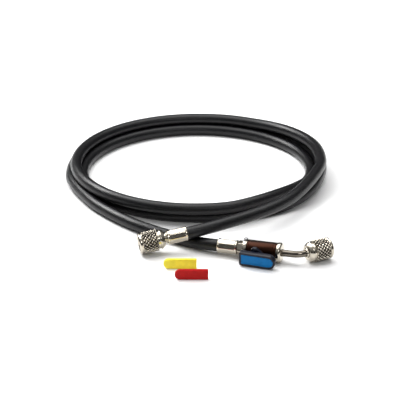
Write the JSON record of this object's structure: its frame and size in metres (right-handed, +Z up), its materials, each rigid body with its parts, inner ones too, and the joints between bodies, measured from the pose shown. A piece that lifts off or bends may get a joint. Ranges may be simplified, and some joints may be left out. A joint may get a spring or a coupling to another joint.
{
  "type": "refrigerant charging hose",
  "caption": "Coiled rubber charging hose with a knurled swivel nut at each end, a small lever ball valve, a bent outlet tube and spare colour inserts.",
  "frame": {"origin": "centre of the bounding box's base, on the floor that the coil lies on", "axes": "+Z up; +Y from the fittings in front to the back of the coil; +X to the right, the way the valve end points"},
  "size_m": [0.2639, 0.3732, 0.0303],
  "materials": {
    "rubber_black": "satin, with a fine moulded texture",
    "nickel": "bright nickel plate",
    "valve_brown": "copper-brown, polished",
    "screw_steel": "plain",
    "brass": "plain turned",
    "lever_black": "moulded, satin",
    "insert_blue": "moulded, glossy",
    "insert_yellow": "moulded, glossy",
    "insert_red": "moulded, glossy",
    "seat_white": "turned fluoropolymer"
  },
  "bodies": {
    "hose_assembly": {"hose": "rubber_black", "ferrule_straight_end": "nickel", "tail_straight_end": "nickel", "ferrule_valve_end": "nickel", "valve_inlet": "nickel", "lock_screw": "screw_steel", "valve_body": "valve_brown", "seat_inlet": "seat_white", "seat_outlet": "seat_white", "valve_outlet": "nickel", "bent_tube": "nickel", "tail_angled_end": "nickel", "depressor": "brass", "insert_yellow": "insert_yellow", "insert_red": "insert_red"},
    "valve_lever": {"lever": "lever_black", "insert_blue": "insert_blue", "stem": "brass", "ball": "nickel"},
    "swivel_straight_end": {"nut_straight_end": "nickel", "gasket_straight_end": "rubber_black"},
    "swivel_angled_end": {"nut_angled_end": "nickel", "gasket_angled_end": "rubber_black"}
  },
  "joints": [
    {"name": "lever_turn", "type": "hinge", "parent": "hose_assembly", "child": "valve_lever", "pos_m": [0.06109, -0.14517, 0.00914], "axis": [-0.3069, -0.946, -0.1045], "range_deg": [0, 90]},
    {"name": "straight_nut_turn", "type": "hinge", "parent": "hose_assembly", "child": "swivel_straight_end", "pos_m": [-0.02865, -0.12887, 0.0139], "axis": [-0.9701, -0.1886, -0.153], "continuous": true},
    {"name": "angled_nut_turn", "type": "hinge", "parent": "hose_assembly", "child": "swivel_angled_end", "pos_m": [0.10064, -0.15214, 0.01006], "axis": [0.8914, 0.4525, 0.0259], "continuous": true}
  ]
}
